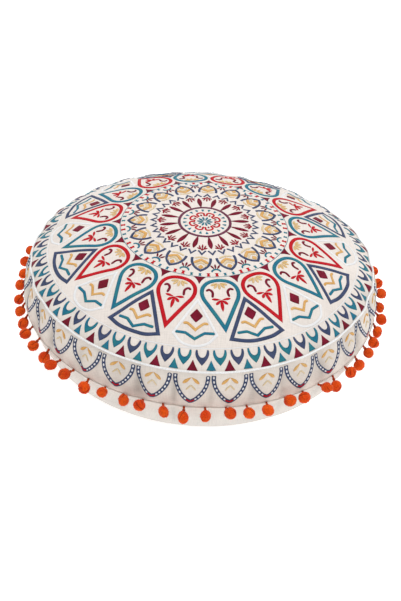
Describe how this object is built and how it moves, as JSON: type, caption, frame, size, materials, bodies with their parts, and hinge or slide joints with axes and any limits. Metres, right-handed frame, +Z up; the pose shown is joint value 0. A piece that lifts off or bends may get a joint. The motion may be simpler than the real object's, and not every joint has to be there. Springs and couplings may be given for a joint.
{
  "type": "floor cushion",
  "caption": "Round low floor cushion with an embroidered mandala top, plain base, orange pom-pom trim round the seam and a zipped back.",
  "frame": {"origin": "middle of the round footprint, on the floor", "axes": "+Z up through the crown of the cushion; -Y towards its front; the zipper runs round the +Y side"},
  "size_m": [0.6457, 0.6517, 0.2224],
  "materials": {
    "embroidered_cotton": "plain-weave cotton canvas, undyed cream",
    "plain_cotton": "plain-weave cotton canvas, undyed cream",
    "trim_tape": "narrow woven heading tape",
    "sewing_thread": "matt spun polyester sewing thread",
    "white_cord": "white twisted cotton cord, couched",
    "thread_red": "satin embroidery thread",
    "thread_maroon": "satin embroidery thread",
    "thread_teal": "satin embroidery thread",
    "thread_navy": "satin embroidery thread",
    "thread_gold": "satin embroidery thread",
    "thread_white": "satin embroidery thread",
    "pompom_yarn": "cut and trimmed acrylic yarn, orange",
    "insert_fabric": "white non-woven polypropylene",
    "filling": "hollow polyester fibre",
    "zipper_tape": "woven polyester tape, cream",
    "zipper_coil": "nylon monofilament coil, cream",
    "zipper_metal": "nickel-plated zinc"
  },
  "bodies": {
    "cushion": {"top_panel": "embroidered_cotton", "bottom_panel": "plain_cotton", "trim_tape": "trim_tape", "seam_stitching": "sewing_thread", "shoulder_cord": "white_cord", "insert_casing": "insert_fabric", "fibre_filling": "filling", "zipper_tape_upper": "zipper_tape", "zipper_tape_lower": "zipper_tape", "zipper_coil_upper": "zipper_coil", "zipper_coil_lower": "zipper_coil", "zipper_stitching": "sewing_thread", "zipper_top_stop": "zipper_metal", "zipper_bottom_stop": "zipper_metal"},
    "slider": {"zipper_slider": "zipper_metal"},
    "pull_tab": {"zipper_pull_tab": "zipper_metal"},
    "pompoms_01": {"pompom_pair_01": "pompom_yarn"},
    "pompoms_02": {"pompom_pair_02": "pompom_yarn"},
    "pompoms_03": {"pompom_pair_03": "pompom_yarn"},
    "pompoms_04": {"pompom_pair_04": "pompom_yarn"},
    "pompoms_05": {"pompom_pair_05": "pompom_yarn"},
    "pompoms_06": {"pompom_pair_06": "pompom_yarn"},
    "pompoms_07": {"pompom_pair_07": "pompom_yarn"},
    "pompoms_08": {"pompom_pair_08": "pompom_yarn"},
    "pompoms_09": {"pompom_pair_09": "pompom_yarn"},
    "pompoms_10": {"pompom_pair_10": "pompom_yarn"},
    "pompoms_11": {"pompom_pair_11": "pompom_yarn"},
    "pompoms_12": {"pompom_pair_12": "pompom_yarn"},
    "pompoms_13": {"pompom_pair_13": "pompom_yarn"},
    "pompoms_14": {"pompom_pair_14": "pompom_yarn"},
    "pompoms_15": {"pompom_pair_15": "pompom_yarn"},
    "pompoms_16": {"pompom_pair_16": "pompom_yarn"},
    "pompoms_17": {"pompom_pair_17": "pompom_yarn"},
    "pompoms_18": {"pompom_pair_18": "pompom_yarn"},
    "pompoms_19": {"pompom_pair_19": "pompom_yarn"},
    "pompoms_20": {"pompom_pair_20": "pompom_yarn"},
    "pompoms_21": {"pompom_pair_21": "pompom_yarn"},
    "pompoms_22": {"pompom_pair_22": "pompom_yarn"},
    "pompoms_23": {"pompom_pair_23": "pompom_yarn"},
    "pompoms_24": {"pompom_pair_24": "pompom_yarn"},
    "pompoms_25": {"pompom_pair_25": "pompom_yarn"},
    "pompoms_26": {"pompom_pair_26": "pompom_yarn"},
    "pompoms_27": {"pompom_pair_27": "pompom_yarn"},
    "pompoms_28": {"pompom_pair_28": "pompom_yarn"},
    "pompoms_29": {"pompom_pair_29": "pompom_yarn"},
    "pompoms_30": {"pompom_pair_30": "pompom_yarn"}
  },
  "joints": [
    {"name": "zip_slide", "type": "hinge", "parent": "cushion", "child": "slider", "pos_m": [0, 0, 0.047], "axis": [0, 0, 1], "range_deg": [0, 88]},
    {"name": "pull_tab_hinge", "type": "hinge", "parent": "slider", "child": "pull_tab", "pos_m": [0.20176, 0.20892, 0.04498], "axis": [-0.2888, -0.2991, -0.9095], "range_deg": [0, 180]},
    {"name": "pompoms_01_swing", "type": "hinge", "parent": "cushion", "child": "pompoms_01", "pos_m": [0.00264, -0.30237, 0.09], "axis": [-1, -0.0087, 0], "range_deg": [-45, 50]},
    {"name": "pompoms_02_swing", "type": "hinge", "parent": "cushion", "child": "pompoms_02", "pos_m": [0.06545, -0.29522, 0.09], "axis": [-0.9763, -0.2164, 0], "range_deg": [-75, 35]},
    {"name": "pompoms_03_swing", "type": "hinge", "parent": "cushion", "child": "pompoms_03", "pos_m": [0.1254, -0.27516, 0.09], "axis": [-0.91, -0.4147, 0], "range_deg": [-75, 20]},
    {"name": "pompoms_04_swing", "type": "hinge", "parent": "cushion", "child": "pompoms_04", "pos_m": [0.17987, -0.24307, 0.09], "axis": [-0.8039, -0.5948, 0], "range_deg": [-90, 35]},
    {"name": "pompoms_05_swing", "type": "hinge", "parent": "cushion", "child": "pompoms_05", "pos_m": [0.22647, -0.20037, 0.09], "axis": [-0.6626, -0.749, 0], "range_deg": [-15, 95]},
    {"name": "pompoms_06_swing", "type": "hinge", "parent": "cushion", "child": "pompoms_06", "pos_m": [0.26318, -0.1489, 0.09], "axis": [-0.4924, -0.8704, 0], "range_deg": [-15, 110]},
    {"name": "pompoms_07_swing", "type": "hinge", "parent": "cushion", "child": "pompoms_07", "pos_m": [0.28839, -0.09093, 0.09], "axis": [-0.3007, -0.9537, 0], "range_deg": [-15, 110]},
    {"name": "pompoms_08_swing", "type": "hinge", "parent": "cushion", "child": "pompoms_08", "pos_m": [0.30099, -0.02898, 0.09], "axis": [-0.0958, -0.9954, 0], "range_deg": [-15, 95]},
    {"name": "pompoms_09_swing", "type": "hinge", "parent": "cushion", "child": "pompoms_09", "pos_m": [0.30044, 0.03423, 0.09], "axis": [0.1132, -0.9936, 0], "range_deg": [-45, 80]},
    {"name": "pompoms_10_swing", "type": "hinge", "parent": "cushion", "child": "pompoms_10", "pos_m": [0.28676, 0.09595, 0.09], "axis": [0.3173, -0.9483, 0], "range_deg": [-30, 65]},
    {"name": "pompoms_11_swing", "type": "hinge", "parent": "cushion", "child": "pompoms_11", "pos_m": [0.26054, 0.15347, 0.09], "axis": [0.5075, -0.8616, 0], "range_deg": [-15, 80]},
    {"name": "pompoms_12_swing", "type": "hinge", "parent": "cushion", "child": "pompoms_12", "pos_m": [0.22294, 0.20429, 0.09], "axis": [0.6756, -0.7373, 0], "range_deg": [-15, 95]},
    {"name": "pompoms_13_swing", "type": "hinge", "parent": "cushion", "child": "pompoms_13", "pos_m": [0.1756, 0.24618, 0.09], "axis": [0.8141, -0.5807, 0], "range_deg": [-30, 65]},
    {"name": "pompoms_14_swing", "type": "hinge", "parent": "cushion", "child": "pompoms_14", "pos_m": [0.12058, 0.27731, 0.09], "axis": [0.9171, -0.3987, 0], "range_deg": [-15, 80]},
    {"name": "pompoms_15_swing", "type": "hinge", "parent": "cushion", "child": "pompoms_15", "pos_m": [0.06029, 0.29631, 0.09], "axis": [0.9799, -0.1994, 0], "range_deg": [-30, 80]},
    {"name": "pompoms_16_swing", "type": "hinge", "parent": "cushion", "child": "pompoms_16", "pos_m": [-0.00264, 0.30237, 0.09], "axis": [1, 0.0087, 0], "range_deg": [-15, 65]},
    {"name": "pompoms_17_swing", "type": "hinge", "parent": "cushion", "child": "pompoms_17", "pos_m": [-0.06545, 0.29522, 0.09], "axis": [0.9763, 0.2164, 0], "range_deg": [-15, 95]},
    {"name": "pompoms_18_swing", "type": "hinge", "parent": "cushion", "child": "pompoms_18", "pos_m": [-0.1254, 0.27516, 0.09], "axis": [0.91, 0.4147, 0], "range_deg": [-30, 80]},
    {"name": "pompoms_19_swing", "type": "hinge", "parent": "cushion", "child": "pompoms_19", "pos_m": [-0.17987, 0.24307, 0.09], "axis": [0.8039, 0.5948, 0], "range_deg": [-15, 80]},
    {"name": "pompoms_20_swing", "type": "hinge", "parent": "cushion", "child": "pompoms_20", "pos_m": [-0.22647, 0.20037, 0.09], "axis": [0.6626, 0.749, 0], "range_deg": [-30, 65]},
    {"name": "pompoms_21_swing", "type": "hinge", "parent": "cushion", "child": "pompoms_21", "pos_m": [-0.26318, 0.1489, 0.09], "axis": [0.4924, 0.8704, 0], "range_deg": [-15, 95]},
    {"name": "pompoms_22_swing", "type": "hinge", "parent": "cushion", "child": "pompoms_22", "pos_m": [-0.28839, 0.09093, 0.09], "axis": [0.3007, 0.9537, 0], "range_deg": [-45, 65]},
    {"name": "pompoms_23_swing", "type": "hinge", "parent": "cushion", "child": "pompoms_23", "pos_m": [-0.30099, 0.02898, 0.09], "axis": [0.0958, 0.9954, 0], "range_deg": [-15, 80]},
    {"name": "pompoms_24_swing", "type": "hinge", "parent": "cushion", "child": "pompoms_24", "pos_m": [-0.30044, -0.03423, 0.09], "axis": [-0.1132, 0.9936, 0], "range_deg": [-15, 110]},
    {"name": "pompoms_25_swing", "type": "hinge", "parent": "cushion", "child": "pompoms_25", "pos_m": [-0.28676, -0.09595, 0.09], "axis": [-0.3173, 0.9483, 0], "range_deg": [-15, 110]},
    {"name": "pompoms_26_swing", "type": "hinge", "parent": "cushion", "child": "pompoms_26", "pos_m": [-0.26054, -0.15347, 0.09], "axis": [-0.5075, 0.8616, 0], "range_deg": [-30, 80]},
    {"name": "pompoms_27_swing", "type": "hinge", "parent": "cushion", "child": "pompoms_27", "pos_m": [-0.22294, -0.20429, 0.09], "axis": [-0.6756, 0.7373, 0], "range_deg": [-15, 65]},
    {"name": "pompoms_28_swing", "type": "hinge", "parent": "cushion", "child": "pompoms_28", "pos_m": [-0.1756, -0.24618, 0.09], "axis": [-0.8141, 0.5807, 0], "range_deg": [-60, 50]},
    {"name": "pompoms_29_swing", "type": "hinge", "parent": "cushion", "child": "pompoms_29", "pos_m": [-0.12058, -0.27731, 0.09], "axis": [-0.9171, 0.3987, 0], "range_deg": [-90, 35]},
    {"name": "pompoms_30_swing", "type": "hinge", "parent": "cushion", "child": "pompoms_30", "pos_m": [-0.06029, -0.29631, 0.09], "axis": [-0.9799, 0.1994, 0], "range_deg": [-75, 35]}
  ]
}
